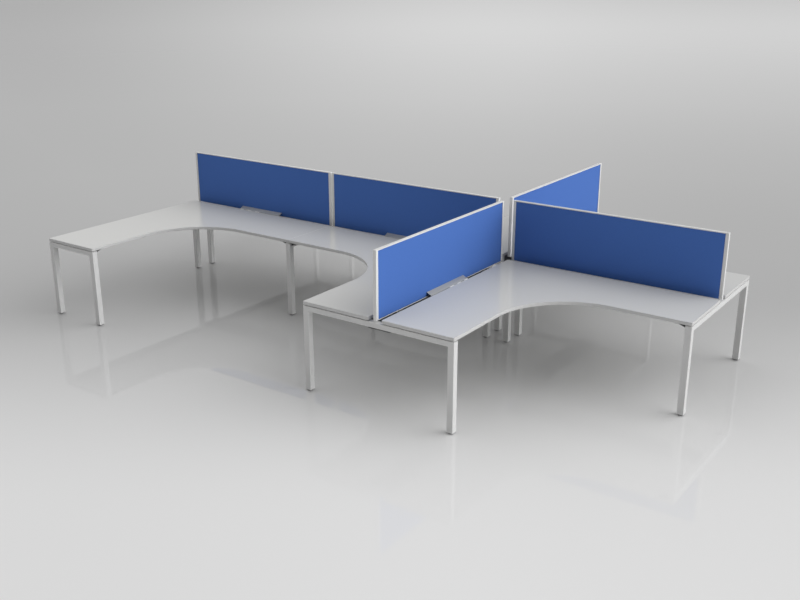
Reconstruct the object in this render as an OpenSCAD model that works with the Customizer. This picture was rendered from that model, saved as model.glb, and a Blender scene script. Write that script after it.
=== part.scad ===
// Six-person workstation: six L-shaped desks on steel frames, with five fabric screens
// between them, cable trays under the screens and hinged cable flaps beside them.
// Millimetres. +Z is up, the floor is Z = 0, and the origin is at the middle of the footprint.
// Four desks meet rear corner to rear corner round a cross, and two more close the left end.

/* [Layout] */
// Length of a desk wing, from its rear corner to its end
wing_len = 1800; // [1500:10:2000]
// Depth of a desk wing, front to back
desk_depth = 600; // [550:10:700]
// Height of the work surface above the floor
desk_h = 720; // [680:5:760]
// Width of the cable gap between the rear edges of two desks
rear_gap = 120; // [110:5:150]

/* [Desktops] */
// Thickness of a desktop
top_t = 25; // [18:1:30]
// Radius of the curved inner edge of a desktop
inner_r = 600; // [400:10:700]
// Thickness of the edge band round a desktop
band_t = 2; // [1:0.5:3]
// Radius of the outer corners of a desktop
top_corner_r = 4; // [3.5:0.5:12]
// Gap left at each end of a wing, so that two tops can meet
top_end_gap = 0.5; // [0.2:0.1:2]

/* [Steel frames] */
// Width of the square leg tube
leg_w = 50; // [45:1:60]
// Height of the frame rails and of the beams
rail_h = 40; // [30:1:50]
// Wall of the leg, rail and beam tubes
tube_wall = 2; // [1.5:0.1:2.5]
// Outside corner radius of the tubes
tube_r = 3; // [2.8:0.1:5]
// Shadow gap between the frame rails and the desktops
rail_gap = 7; // [5:0.5:12]
// Distance from a desk's rear edges to its corner leg
corner_leg_inset = 15; // [12:1:25]
// Width of the head plate on a corner leg
head_plate_w = 85; // [60:5:120]
// Thickness of the head plate on a corner leg
head_plate_t = 4; // [3:0.5:4.5]
// Width of a beam
beam_w = 25; // [20:1:28]
// How far a beam stands in from the inner face of its corner leg
beam_setback = 2.5; // [1:0.5:4]
// Thickness of the plates welded to the beam ends
end_plate_t = 3; // [2:0.5:6]
// Diameter of the frame bolts
bolt_d = 8; // [6:0.5:8]
// Height of a bolt head
bolt_head_h = 5.5; // [4:0.5:7]
// Length of a bolt under its head
bolt_len = 14; // [10:1:20]
// Clearance round a bolt, in radius
bolt_clear = 0.3; // [0.2:0.1:0.5]

/* [Top brackets] */
// Length of a top bracket
bracket_len = 75; // [50:5:120]
// Depth of the bracket's web where it meets the leg
bracket_drop = 30; // [20:1:40]
// Width of the bracket's flange
bracket_w = 40; // [30:1:45]
// Thickness of the bracket's plates
bracket_t = 3; // [2:0.5:4]

/* [Feet] */
// Height of the glide's disc
glide_h = 8; // [6:0.5:12]
// Diameter of the glide's disc on the floor
glide_d = 38; // [30:1:44]
// Diameter of the glide's threaded stud
stud_d = 8; // [6:0.5:10]
// Length of stud that is screwed out below the leg plug
stud_out = 2; // [1:0.5:10]
// Thickness of the leg plug's collar
collar_t = 2; // [1.5:0.5:4]
// Depth of the leg plug inside the tube
plug_depth = 20; // [15:1:30]
// Clearance of the plug in the tube and of the stud in the plug
plug_clear = 0.1; // [0.05:0.05:0.2]

/* [Screens] */
// Top of the screens above the floor
screen_top = 1221; // [1050:1:1400]
// How far the screens reach below the work surface
screen_dip = 18; // [16:1:20]
// Width of the aluminium posts at the screen's ends
profile_w = 25; // [20:1:35]
// Height of the slim rails over and under the panel
slim_h = 8; // [6.5:0.5:12]
// Thickness of the screen profile, front to back
profile_t = 28; // [27:1:34]
// Wall of the screen profile
profile_wall = 1.8; // [1.2:0.1:2]
// Depth of the groove in the posts, which holds the panel's sides
groove_depth = 8; // [5:1:10]
// Depth of the groove in the slim rails
slim_groove = 5; // [3:0.5:5]
// Thickness of the fabric-covered panel
panel_t = 24; // [18:0.5:24]
// Clearance of the panel in its groove
panel_clear = 0.2; // [0.1:0.1:0.3]
// Distance from the middle of the cross to the nearest screen ends
cross_gap = 71; // [40:1:120]
// How far a screen stops short of the desk ends
screen_inset = 4; // [2:0.5:12]
// Distance from a screen's end to its nearer support
support_inset = 300; // [200:10:450]
// Width of a screen support along the screen
support_w = 60; // [40:5:80]
// Thickness of the support's strap
strap_t = 5; // [4:0.5:6]
// Length of the foot block on a support, along the screen
foot_len = 40; // [20:5:60]
// Width of the foot block, across the screen
foot_w = 18; // [12:1:24]

/* [Cable trays] */
// Depth of a cable tray
tray_h = 72; // [50:1:100]
// Thickness of the tray's sheet steel
tray_sheet = 1.5; // [1:0.1:2]
// Width of the lips that hang on the screen supports
tray_lip = 14; // [10:1:20]
// Gap between the tray and the beams beside it
tray_side_gap = 2.5; // [1:0.5:5]
// Gap between the tray and what closes its ends
tray_end_gap = 2; // [1:0.5:6]
// Length of a cable slot in the tray
slot_len = 60; // [30:5:90]
// Width of a cable slot in the tray
slot_w = 14; // [8:1:20]
// Distance from one cable slot to the next
slot_pitch = 150; // [110:10:250]

/* [Cable flaps] */
// Length of a cable flap
flap_len = 520; // [400:10:600]
// Distance from the desk's rear corner to the flap
flap_start = 640; // [500:10:700]
// Thickness of the flap
flap_t = 3; // [2:0.1:3.4]
// Angle at which the closed flap leans on the screen
flap_lean = 26; // [22:1:40]
// Gap between the closed flap and the screen
flap_gap = 0.3; // [0.2:0.1:1]
// Length of the hinge, which takes the half nearer the desk's corner
hinge_len = 260; // [200:10:300]
// Number of hinge knuckles
knuckles = 5; // [3:2:9]
// Radius of the hinge knuckles
knuckle_r = 3.5; // [2.8:0.1:4]
// Radius of the hinge pin
pin_r = 1.5; // [1:0.1:1.8]
// Clearance of the knuckles round the pin
pin_clear = 0.05; // [0.03:0.01:0.1]
// Gap between neighbouring knuckles
knuckle_gap = 0.4; // [0.3:0.1:1]
// Height of the hinge leaf on the desk's rear edge
leaf_h = 20; // [12:1:24]
// Thickness of the hinge leaf
leaf_t = 1.5; // [1:0.1:2]
// Height of the hinge pin above the work surface
pin_rise = 1; // [0.6:0.1:3]
// Distance from the desk's rear edge to the hinge pin
pin_out = 4; // [3.6:0.1:6]
// Length of the head on the hinge pin
pin_head = 1; // [0.5:0.1:1.5]

/* [Hidden] */
$fn = 48;

board_col = "#e9e9e7";
band_col = "#c9cacb";
steel_col = "#ececea";
bracket_col = "#3a3b3d";
tray_col = "#2e2f31";
plastic_col = "#2b2b2c";
zinc_col = "#b4b6b8";
alu_col = "#e4e5e6";
flap_col = "#cfcdc4";
fabric_col = "#4a73c0";

// How far a cutter runs past the face that it cuts
over = 1;

// Plan: the middle of the cross and the left end of the cluster
half_gap = rear_gap / 2;
reach = half_gap + wing_len;
cross_x = wing_len / 2;
left_x = cross_x - reach - wing_len;

// Heights
top_under = desk_h - top_t;
rail_top = top_under - rail_gap;
rail_bot = rail_top - rail_h;
rail_mid = (rail_top + rail_bot) / 2;
collar_bot = glide_h + stud_out;
tube_bot = collar_bot + collar_t;
screen_bot = desk_h - screen_dip;

// Corner legs and beams, measured from the middle of the cable gap
leg_near = half_gap + corner_leg_inset;
leg_far = leg_near + leg_w;
beam_near = leg_w - beam_setback - beam_w;
beam_far = leg_w - beam_setback;
cross_wing_end = reach - leg_w;
joint_wing_end = reach - leg_w / 2;

// A wing is [x of its start, its direction, corner leg face, rail face, screen start,
// start of the desk's rear corner]; distances run out along the wing
WING_RIGHT = [cross_x, 0, leg_far, cross_wing_end, cross_gap, half_gap];
WING_BACK = [cross_x, 90, leg_far, cross_wing_end, cross_gap, half_gap];
WING_MIDDLE = [cross_x, 180, leg_far, joint_wing_end, cross_gap, half_gap];
WING_FRONT = [cross_x, 270, leg_far, cross_wing_end, cross_gap, half_gap];
WING_LEFT = [left_x, 0, leg_w, wing_len - leg_w / 2, screen_inset, 0];
WING_END_BACK = [left_x, 90, leg_far, cross_wing_end, 0, half_gap];
WING_END_FRONT = [left_x, 270, leg_far, cross_wing_end, 0, half_gap];
SCREEN_WINGS = [WING_RIGHT, WING_BACK, WING_MIDDLE, WING_FRONT, WING_LEFT];

// A beam is [its wing, side of the wing, distance of the leg from the wing's middle line]
BEAM_RIGHT_FRONT = [WING_RIGHT, -1, leg_near];
BEAM_RIGHT_BACK = [WING_RIGHT, 1, leg_near];
BEAM_FRONT_RIGHT = [WING_FRONT, 1, leg_near];
BEAM_FRONT_LEFT = [WING_FRONT, -1, leg_near];
BEAM_BACK_RIGHT = [WING_BACK, -1, leg_near];
BEAM_BACK_LEFT = [WING_BACK, 1, leg_near];
BEAM_MIDDLE_FRONT = [WING_MIDDLE, 1, leg_near];
BEAM_MIDDLE_BACK = [WING_MIDDLE, -1, leg_near];
BEAM_LEFT_FRONT = [WING_LEFT, -1, leg_near];
BEAM_LEFT_BACK = [WING_LEFT, 1, leg_near];
BEAM_END_FRONT = [WING_END_FRONT, 1, 0];
BEAM_END_BACK = [WING_END_BACK, -1, 0];
BEAMS = [
  BEAM_RIGHT_FRONT, BEAM_RIGHT_BACK, BEAM_FRONT_RIGHT, BEAM_FRONT_LEFT,
  BEAM_BACK_RIGHT, BEAM_BACK_LEFT, BEAM_MIDDLE_FRONT, BEAM_MIDDLE_BACK,
  BEAM_LEFT_FRONT, BEAM_LEFT_BACK, BEAM_END_FRONT, BEAM_END_BACK
];
leg_bolt = beam_near / 2;
rail_bolt = beam_far + beam_near / 2;

// A desk is [x and y of its rear corner, its turn, and its corner leg's two distances
// from the desk's rear edges]
DESK_BACK_RIGHT = [cross_x + half_gap, half_gap, 0, corner_leg_inset, corner_leg_inset];
DESK_BACK_MIDDLE = [cross_x - half_gap, half_gap, 90, corner_leg_inset, corner_leg_inset];
DESK_FRONT_MIDDLE = [cross_x - half_gap, -half_gap, 180, corner_leg_inset, corner_leg_inset];
DESK_FRONT_RIGHT = [cross_x + half_gap, -half_gap, 270, corner_leg_inset, corner_leg_inset];
DESK_BACK_LEFT = [left_x, half_gap, 0, 0, corner_leg_inset];
DESK_FRONT_LEFT = [left_x, -half_gap, 270, corner_leg_inset, 0];
DESKS = [
  DESK_FRONT_RIGHT, DESK_BACK_RIGHT, DESK_FRONT_MIDDLE,
  DESK_BACK_MIDDLE, DESK_FRONT_LEFT, DESK_BACK_LEFT
];

// A frame is [x and y of its middle, its turn, its width, the sides that carry desks,
// the legs with brackets]; an outer leg at the left end has a beam in the bracket's place
wide = 2 * (half_gap + desk_depth);
FRAME_RIGHT = [cross_x + reach - leg_w / 2, 0, 0, wide, [-1], [-1, 1]];
FRAME_BACK = [cross_x, reach - leg_w / 2, 90, wide, [-1], [-1, 1]];
FRAME_FRONT = [cross_x, leg_w / 2 - reach, 270, wide, [-1], [-1, 1]];
FRAME_MIDDLE = [cross_x - reach, 0, 180, wide, [-1, 1], [-1, 1]];
FRAME_LEFT_BACK = [left_x + desk_depth / 2, reach - leg_w / 2, 90, desk_depth, [-1], [-1]];
FRAME_LEFT_FRONT = [left_x + desk_depth / 2, leg_w / 2 - reach, 270, desk_depth, [-1], [1]];
FRAMES = [
  FRAME_RIGHT, FRAME_BACK, FRAME_FRONT, FRAME_MIDDLE, FRAME_LEFT_BACK, FRAME_LEFT_FRONT
];

// A flap is [its wing, side of the wing]
FLAP_FRONT_RIGHT = [WING_FRONT, 1];
FLAP_BACK_RIGHT = [WING_RIGHT, 1];
FLAP_FRONT_MIDDLE = [WING_MIDDLE, 1];
FLAP_BACK_MIDDLE = [WING_BACK, 1];
FLAP_FRONT_LEFT = [WING_LEFT, -1];
FLAP_BACK_LEFT = [WING_LEFT, 1];
FLAPS = [
  FLAP_FRONT_RIGHT, FLAP_BACK_RIGHT, FLAP_FRONT_MIDDLE,
  FLAP_BACK_MIDDLE, FLAP_FRONT_LEFT, FLAP_BACK_LEFT
];

// Screens: one length fits all five
screen_len = reach - cross_gap - screen_inset;
panel_len = screen_len - 2 * profile_w + 2 * groove_depth;
strap_len = 2 * (leg_near + beam_far);
tray_w = 2 * (leg_near + beam_near - tray_side_gap);

// Flap: the pin line, and the distance from it to the middle of the flap's nose
pin_v = half_gap - pin_out;
pin_z = desk_h + pin_rise;
nose_r = flap_t / 2;
nose_run = (pin_v - panel_t / 2 - flap_gap - nose_r) / cos(flap_lean);
knuckle_pitch = hinge_len / knuckles;

// Rounded rectangle about its middle
module rounded_rect(w, d, r) {
  square([w - 2 * r, d], center = true);
  square([w, d - 2 * r], center = true);
  for (x = [-1, 1], y = [-1, 1])
    translate([x * (w / 2 - r), y * (d / 2 - r)])
      circle(r);
}

// Rectangle of the inside of a tube
module bore_rect(w, d) {
  rounded_rect(w - 2 * tube_wall, d - 2 * tube_wall, tube_r - tube_wall);
}

// Runs along +X from the origin, w wide in Y and h high in Z
module along_x(len) {
  rotate([90, 0, 90])
    linear_extrude(len)
      children();
}

// Children are placed in a wing's own frame, on one side of its middle line
module on_wing(w, side = 1) {
  translate([w[0], 0, 0])
    rotate(w[1])
      mirror([0, side < 0 ? 1 : 0, 0])
        children();
}

module on_desk(d) {
  translate([d[0], d[1], 0])
    rotate(d[2])
      children();
}

module on_frame(f) {
  translate([f[0], f[1], 0])
    rotate(f[2])
      children();
}

// Cuts a square corner at the origin, inside the quadrant that a turn points at
module corner_cut(turn, r) {
  rotate(turn)
    difference() {
      translate([-over, -over])
        square(r + over);
      translate([r, r])
        circle(r);
    }
}

// Outline of a desktop, with its edges moved in by e; the rear corner is the origin
module desk_outline(e) {
  far = wing_len - top_end_gap - e;
  near = desk_depth - e;
  bend = desk_depth + inner_r;
  r = top_corner_r - e;
  difference() {
    translate([e, e])
      square(far - e);
    translate([bend, near])
      square(wing_len);
    translate([near, bend])
      square(wing_len);
    translate([bend, bend])
      circle(inner_r + e, $fn = 128);
    translate([e, e])
      corner_cut(0, r);
    translate([far, e])
      corner_cut(90, r);
    translate([e, far])
      corner_cut(270, r);
    translate([far, near])
      corner_cut(180, r);
    translate([near, far])
      corner_cut(180, r);
  }
}

module desktop(d) {
  color(board_col)
    on_desk(d)
      translate([0, 0, top_under])
        linear_extrude(top_t)
          desk_outline(band_t);
}

module desktop_front_right() desktop(DESK_FRONT_RIGHT);
module desktop_back_right() desktop(DESK_BACK_RIGHT);
module desktop_front_middle() desktop(DESK_FRONT_MIDDLE);
module desktop_back_middle() desktop(DESK_BACK_MIDDLE);
module desktop_front_left() desktop(DESK_FRONT_LEFT);
module desktop_back_left() desktop(DESK_BACK_LEFT);

// One closed band round the edge of each desktop
module edge_bands() {
  color(band_col)
    for (d = DESKS)
      on_desk(d)
        translate([0, 0, top_under])
          linear_extrude(top_t)
            difference() {
              desk_outline(0);
              desk_outline(band_t);
            }
}

// Bolt holes in the wall of a tube, drilled from the face that a beam meets
module bolt_hole() {
  translate([-2 * tube_wall, 0, rail_mid])
    rotate([0, 90, 0])
      cylinder(h = 4 * tube_wall, r = bolt_d / 2 + bolt_clear);
}

// Holes in everything that the beams are bolted to
module all_bolt_holes() {
  for (b = BEAMS)
    on_wing(b[0], b[1]) {
      translate([b[0][2], b[2] + leg_bolt, 0])
        bolt_hole();
      translate([b[0][3], b[2] + rail_bolt, 0])
        bolt_hole();
    }
}

// Welded frame: two legs and the rail between them, of tube that is open at the foot
module frame(f) {
  w = f[3];
  color(steel_col)
    difference() {
      on_frame(f) {
        for (s = [-1, 1])
          translate([0, s * (w - leg_w) / 2, tube_bot])
            linear_extrude(rail_top - tube_bot)
              rounded_rect(leg_w, leg_w, tube_r);
        translate([0, tube_r - w / 2, rail_mid])
          rotate(90)
            along_x(w - 2 * tube_r)
              rounded_rect(leg_w, rail_h, tube_r);
      }
      on_frame(f) {
        for (s = [-1, 1])
          translate([0, s * (w - leg_w) / 2, tube_bot - over])
            linear_extrude(rail_top - tube_wall - tube_bot + over)
              bore_rect(leg_w, leg_w);
        translate([0, leg_w / 2 - w / 2, rail_mid])
          rotate(90)
            along_x(w - leg_w)
              bore_rect(leg_w, rail_h);
      }
      all_bolt_holes();
    }
}

module end_frame_right() frame(FRAME_RIGHT);
module end_frame_front() frame(FRAME_FRONT);
module end_frame_back() frame(FRAME_BACK);
module middle_frame() frame(FRAME_MIDDLE);
module end_frame_left_front() frame(FRAME_LEFT_FRONT);
module end_frame_left_back() frame(FRAME_LEFT_BACK);

// Leg under a desk's rear corner, with a head plate welded on under the desktop
module corner_leg(d) {
  tube_top = top_under - head_plate_t;
  color(steel_col)
    difference() {
      on_desk(d)
        translate([d[3], d[4], 0]) {
          translate([leg_w / 2, leg_w / 2, tube_bot])
            linear_extrude(tube_top - tube_bot)
              difference() {
                rounded_rect(leg_w, leg_w, tube_r);
                bore_rect(leg_w, leg_w);
              }
          translate([tube_r, tube_r, tube_top])
            cube([head_plate_w, head_plate_w, head_plate_t]);
        }
      all_bolt_holes();
    }
}

module corner_leg_front_right() corner_leg(DESK_FRONT_RIGHT);
module corner_leg_back_right() corner_leg(DESK_BACK_RIGHT);
module corner_leg_front_middle() corner_leg(DESK_FRONT_MIDDLE);
module corner_leg_back_middle() corner_leg(DESK_BACK_MIDDLE);
module corner_leg_front_left() corner_leg(DESK_FRONT_LEFT);
module corner_leg_back_left() corner_leg(DESK_BACK_LEFT);

// Beam from a corner leg to a frame rail: a tube between two bolted end plates
module beam(b) {
  from = b[0][2];
  to = b[0][3];
  color(steel_col)
    on_wing(b[0], b[1])
      translate([from, b[2], rail_mid])
        difference() {
          union() {
            translate([end_plate_t, (beam_near + beam_far) / 2, 0])
              along_x(to - from - 2 * end_plate_t)
                difference() {
                  rounded_rect(beam_w, rail_h, tube_r);
                  bore_rect(beam_w, rail_h);
                }
            translate([0, 0, -rail_h / 2])
              cube([end_plate_t, leg_w, rail_h]);
            translate([to - from - end_plate_t, beam_near, -rail_h / 2])
              cube([end_plate_t, leg_w, rail_h]);
          }
          translate([0, leg_bolt, -rail_mid])
            bolt_hole();
          translate([to - from, rail_bolt, -rail_mid])
            bolt_hole();
        }
}

module beam_right_front() beam(BEAM_RIGHT_FRONT);
module beam_right_back() beam(BEAM_RIGHT_BACK);
module beam_front_right() beam(BEAM_FRONT_RIGHT);
module beam_front_left() beam(BEAM_FRONT_LEFT);
module beam_back_right() beam(BEAM_BACK_RIGHT);
module beam_back_left() beam(BEAM_BACK_LEFT);
module beam_middle_front() beam(BEAM_MIDDLE_FRONT);
module beam_middle_back() beam(BEAM_MIDDLE_BACK);
module beam_left_front() beam(BEAM_LEFT_FRONT);
module beam_left_back() beam(BEAM_LEFT_BACK);
module beam_end_front() beam(BEAM_END_FRONT);
module beam_end_back() beam(BEAM_END_BACK);

// Hexagon-headed bolt, its head on the plane X = 0 and its shank along -X
module bolt() {
  rotate([0, 90, 0])
    cylinder(h = bolt_head_h, r = 0.9 * bolt_d, $fn = 6);
  rotate([0, -90, 0])
    cylinder(h = bolt_len, r = bolt_d / 2);
}

module frame_bolts() {
  color(zinc_col)
    for (b = BEAMS)
      on_wing(b[0], b[1])
        translate([0, b[2], rail_mid]) {
          translate([b[0][2] + end_plate_t, leg_bolt, 0])
            bolt();
          translate([b[0][3] - end_plate_t, rail_bolt, 0])
            rotate(180)
              bolt();
        }
}

// Folded bracket beside a frame leg: a flange under the top and a tapered web
module top_bracket() {
  translate([0, -bracket_w / 2, top_under - bracket_t])
    cube([bracket_len, bracket_w, bracket_t]);
  translate([0, bracket_t / 2, 0])
    rotate([90, 0, 0])
      linear_extrude(bracket_t)
        polygon([
          [0, top_under - bracket_t / 2],
          [0, top_under - bracket_drop],
          [bracket_len, top_under - bracket_t],
          [bracket_len, top_under - bracket_t / 2]
        ]);
}

module top_brackets() {
  color(bracket_col)
    for (f = FRAMES)
      on_frame(f)
        for (side = f[4], s = f[5])
          translate([side * leg_w / 2, s * (f[3] - leg_w) / 2, 0])
            mirror([side < 0 ? 1 : 0, 0, 0])
              top_bracket();
}

// Children are placed at the middle of each of the eighteen legs
module at_legs() {
  for (f = FRAMES)
    on_frame(f)
      for (s = [-1, 1])
        translate([0, s * (f[3] - leg_w) / 2, 0])
          children();
  for (d = DESKS)
    on_desk(d)
      translate([d[3] + leg_w / 2, d[4] + leg_w / 2, 0])
        children();
}

// Plug that closes the foot of a leg and holds the glide's stud
module leg_plugs() {
  inside = leg_w - 2 * tube_wall - 2 * plug_clear;
  color(plastic_col)
    at_legs()
      difference() {
        union() {
          translate([0, 0, collar_bot])
            linear_extrude(collar_t)
              rounded_rect(leg_w, leg_w, tube_r);
          translate([0, 0, tube_bot])
            linear_extrude(plug_depth)
              rounded_rect(inside, inside, tube_r - tube_wall);
        }
        translate([0, 0, collar_bot - over])
          cylinder(h = collar_t + plug_depth + 2 * over, r = stud_d / 2 + plug_clear);
      }
}

// Levelling glide: a tapered disc on a stud
module levelling_glides() {
  taper_h = glide_h / 2;
  color(plastic_col)
    at_legs() {
      cylinder(h = glide_h - taper_h, d = glide_d);
      translate([0, 0, glide_h - taper_h])
        rotate_extrude()
          polygon([
            [0, 0],
            [glide_d / 2, 0],
            [glide_d / 3, taper_h],
            [0, taper_h]
          ]);
      translate([0, 0, glide_h - taper_h])
        cylinder(h = taper_h + stud_out + plug_depth, d = stud_d);
    }
}

// Slot with round ends
module slot_outline() {
  straight = slot_len - slot_w;
  square([straight, slot_w], center = true);
  for (s = [-1, 1])
    translate([s * straight / 2, 0])
      circle(slot_w / 2);
}

// Open trough of sheet steel under a screen, hung by its lips on the screen supports
module cable_tray(w) {
  from = w[2] + end_plate_t + bolt_head_h + tray_end_gap;
  to = w[3] - tray_end_gap;
  slots = floor((to - from - slot_len) / slot_pitch);
  first = (from + to - slots * slot_pitch) / 2;
  color(tray_col)
    on_wing(w)
      difference() {
        translate([from, 0, rail_top - tray_h])
          along_x(to - from)
            difference() {
              translate([-tray_w / 2, 0])
                square([tray_w, tray_h]);
              translate([tray_sheet - tray_w / 2, tray_sheet])
                square([tray_w - 2 * tray_sheet, tray_h - 2 * tray_sheet]);
              translate([tray_lip - tray_w / 2, tray_sheet])
                square([tray_w - 2 * tray_lip, tray_h]);
            }
        for (i = [0:slots])
          translate([first + i * slot_pitch, 0, rail_top - tray_h - over])
            linear_extrude(tray_sheet + 2 * over)
              slot_outline();
      }
}

module cable_tray_right() cable_tray(WING_RIGHT);
module cable_tray_front() cable_tray(WING_FRONT);
module cable_tray_back() cable_tray(WING_BACK);
module cable_tray_middle() cable_tray(WING_MIDDLE);
module cable_tray_left() cable_tray(WING_LEFT);

// Space that a screen's panel takes, grown by e; the screen starts at the origin
module panel_space(e) {
  from = profile_w - groove_depth;
  low = screen_bot + slim_h - slim_groove;
  high = screen_top - slim_h + slim_groove;
  translate([from - e, -panel_t / 2 - e, low - e])
    cube([panel_len + 2 * e, panel_t + 2 * e, high - low + 2 * e]);
}

module screen_panel(w) {
  color(fabric_col)
    on_wing(w)
      translate([w[4], 0, 0])
        panel_space(0);
}

module screen_panel_right() screen_panel(WING_RIGHT);
module screen_panel_front() screen_panel(WING_FRONT);
module screen_panel_back() screen_panel(WING_BACK);
module screen_panel_middle() screen_panel(WING_MIDDLE);
module screen_panel_left() screen_panel(WING_LEFT);

// Aluminium frame round a screen: a hollow post at each end and a slim rail over and
// under the panel, with a groove all round for the panel
module screen_frame(w) {
  chamber = profile_w - groove_depth - 2 * profile_wall - panel_clear;
  color(alu_col)
    on_wing(w)
      translate([w[4], -profile_t / 2, screen_bot])
        difference() {
          cube([screen_len, profile_t, screen_top - screen_bot]);
          translate([profile_w, -over, slim_h])
            cube([
              screen_len - 2 * profile_w,
              profile_t + 2 * over,
              screen_top - screen_bot - 2 * slim_h
            ]);
          for (x = [profile_wall, screen_len - profile_wall - chamber])
            translate([x, profile_wall, -over])
              cube([
                chamber,
                profile_t - 2 * profile_wall,
                screen_top - screen_bot - profile_wall + over
              ]);
          translate([0, profile_t / 2, -screen_bot])
            panel_space(panel_clear);
        }
}

module screen_frame_right() screen_frame(WING_RIGHT);
module screen_frame_front() screen_frame(WING_FRONT);
module screen_frame_back() screen_frame(WING_BACK);
module screen_frame_middle() screen_frame(WING_MIDDLE);
module screen_frame_left() screen_frame(WING_LEFT);

// Strap across two beams, with a foot block that carries the screen's lower rail
module screen_supports() {
  color(bracket_col)
    for (w = SCREEN_WINGS, at = [support_inset, screen_len - support_inset])
      on_wing(w)
        translate([w[4] + at, 0, rail_top]) {
          translate([-support_w / 2, -strap_len / 2, 0])
            cube([support_w, strap_len, strap_t]);
          translate([-foot_len / 2, -foot_w / 2, 0])
            cube([foot_len, foot_w, screen_bot - rail_top]);
        }
}

// Knuckles number first, first + 2 and so on, about the pin line
module knuckle_row(first) {
  for (i = [first:2:knuckles - 1])
    translate([i * knuckle_pitch + knuckle_gap / 2, 0, 0])
      rotate([0, 90, 0])
        cylinder(h = knuckle_pitch - knuckle_gap, r = knuckle_r);
}

module pin_bore() {
  translate([-over, 0, 0])
    rotate([0, 90, 0])
      cylinder(h = hinge_len + 2 * over, r = pin_r + pin_clear);
}

// Children are placed on a flap's pin line, at the end nearer the desk's corner
module on_flap(f) {
  on_wing(f[0], f[1])
    translate([f[0][5] + flap_start, pin_v, pin_z])
      children();
}

// Flap: a plate with a round nose, knuckles on one half and a round heel on the other
module cable_flap(f) {
  heel = knuckle_r + knuckle_gap;
  color(flap_col)
    on_flap(f)
      rotate([-flap_lean, 0, 0])
        difference() {
          union() {
            translate([0, -nose_run, -flap_t / 2])
              cube([flap_len, nose_run - heel, flap_t]);
            translate([0, -nose_run, 0])
              rotate([0, 90, 0])
                cylinder(h = flap_len, r = nose_r);
            translate([hinge_len + knuckle_gap, -heel - over, -flap_t / 2])
              cube([flap_len - hinge_len - knuckle_gap, heel + over, flap_t]);
            translate([hinge_len + knuckle_gap, 0, 0])
              rotate([0, 90, 0])
                cylinder(h = flap_len - hinge_len - knuckle_gap, r = nose_r);
            for (i = [1:2:knuckles - 1])
              translate([i * knuckle_pitch + knuckle_gap / 2, -heel - over, -flap_t / 2])
                cube([knuckle_pitch - knuckle_gap, heel + over, flap_t]);
            knuckle_row(1);
          }
          pin_bore();
        }
}

module cable_flap_front_right() cable_flap(FLAP_FRONT_RIGHT);
module cable_flap_back_right() cable_flap(FLAP_BACK_RIGHT);
module cable_flap_front_middle() cable_flap(FLAP_FRONT_MIDDLE);
module cable_flap_back_middle() cable_flap(FLAP_BACK_MIDDLE);
module cable_flap_front_left() cable_flap(FLAP_FRONT_LEFT);
module cable_flap_back_left() cable_flap(FLAP_BACK_LEFT);

// Hinge leaf on the desk's rear edge, with the knuckles that stay still
module flap_hinge_leaves() {
  color(zinc_col)
    for (f = FLAPS)
      on_flap(f)
        difference() {
          union() {
            for (i = [0:2:knuckles - 1])
              translate([
                i * knuckle_pitch + knuckle_gap / 2,
                pin_out - leaf_t,
                -leaf_h / 2
              ])
                cube([knuckle_pitch - knuckle_gap, leaf_t, leaf_h / 2 - pin_rise]);
            translate([knuckle_gap / 2, pin_out - leaf_t, -pin_rise - leaf_h])
              cube([hinge_len - knuckle_gap, leaf_t, leaf_h - knuckle_r]);
            knuckle_row(0);
          }
          pin_bore();
        }
}

module flap_hinge_pins() {
  color(zinc_col)
    for (f = FLAPS)
      on_flap(f) {
        translate([-pin_head, 0, 0])
          rotate([0, 90, 0])
            cylinder(h = hinge_len + pin_head, r = pin_r);
        translate([-pin_head, 0, 0])
          rotate([0, 90, 0])
            cylinder(h = pin_head, r = (pin_r + knuckle_r) / 2);
      }
}

desktop_front_right();
desktop_back_right();
desktop_front_middle();
desktop_back_middle();
desktop_front_left();
desktop_back_left();
edge_bands();
end_frame_right();
end_frame_front();
end_frame_back();
middle_frame();
end_frame_left_front();
end_frame_left_back();
corner_leg_front_right();
corner_leg_back_right();
corner_leg_front_middle();
corner_leg_back_middle();
corner_leg_front_left();
corner_leg_back_left();
beam_right_front();
beam_right_back();
beam_front_right();
beam_front_left();
beam_back_right();
beam_back_left();
beam_middle_front();
beam_middle_back();
beam_left_front();
beam_left_back();
beam_end_front();
beam_end_back();
frame_bolts();
top_brackets();
leg_plugs();
levelling_glides();
cable_tray_right();
cable_tray_front();
cable_tray_back();
cable_tray_middle();
cable_tray_left();
screen_panel_right();
screen_panel_front();
screen_panel_back();
screen_panel_middle();
screen_panel_left();
screen_frame_right();
screen_frame_front();
screen_frame_back();
screen_frame_middle();
screen_frame_left();
screen_supports();
cable_flap_front_right();
cable_flap_back_right();
cable_flap_front_middle();
cable_flap_back_middle();
cable_flap_front_left();
cable_flap_back_left();
flap_hinge_leaves();
flap_hinge_pins();
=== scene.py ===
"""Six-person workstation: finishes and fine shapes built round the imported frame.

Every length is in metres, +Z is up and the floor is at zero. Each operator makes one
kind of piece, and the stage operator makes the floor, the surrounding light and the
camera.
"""

import math

import bmesh
import bpy
from mathutils import Matrix, Vector


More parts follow.
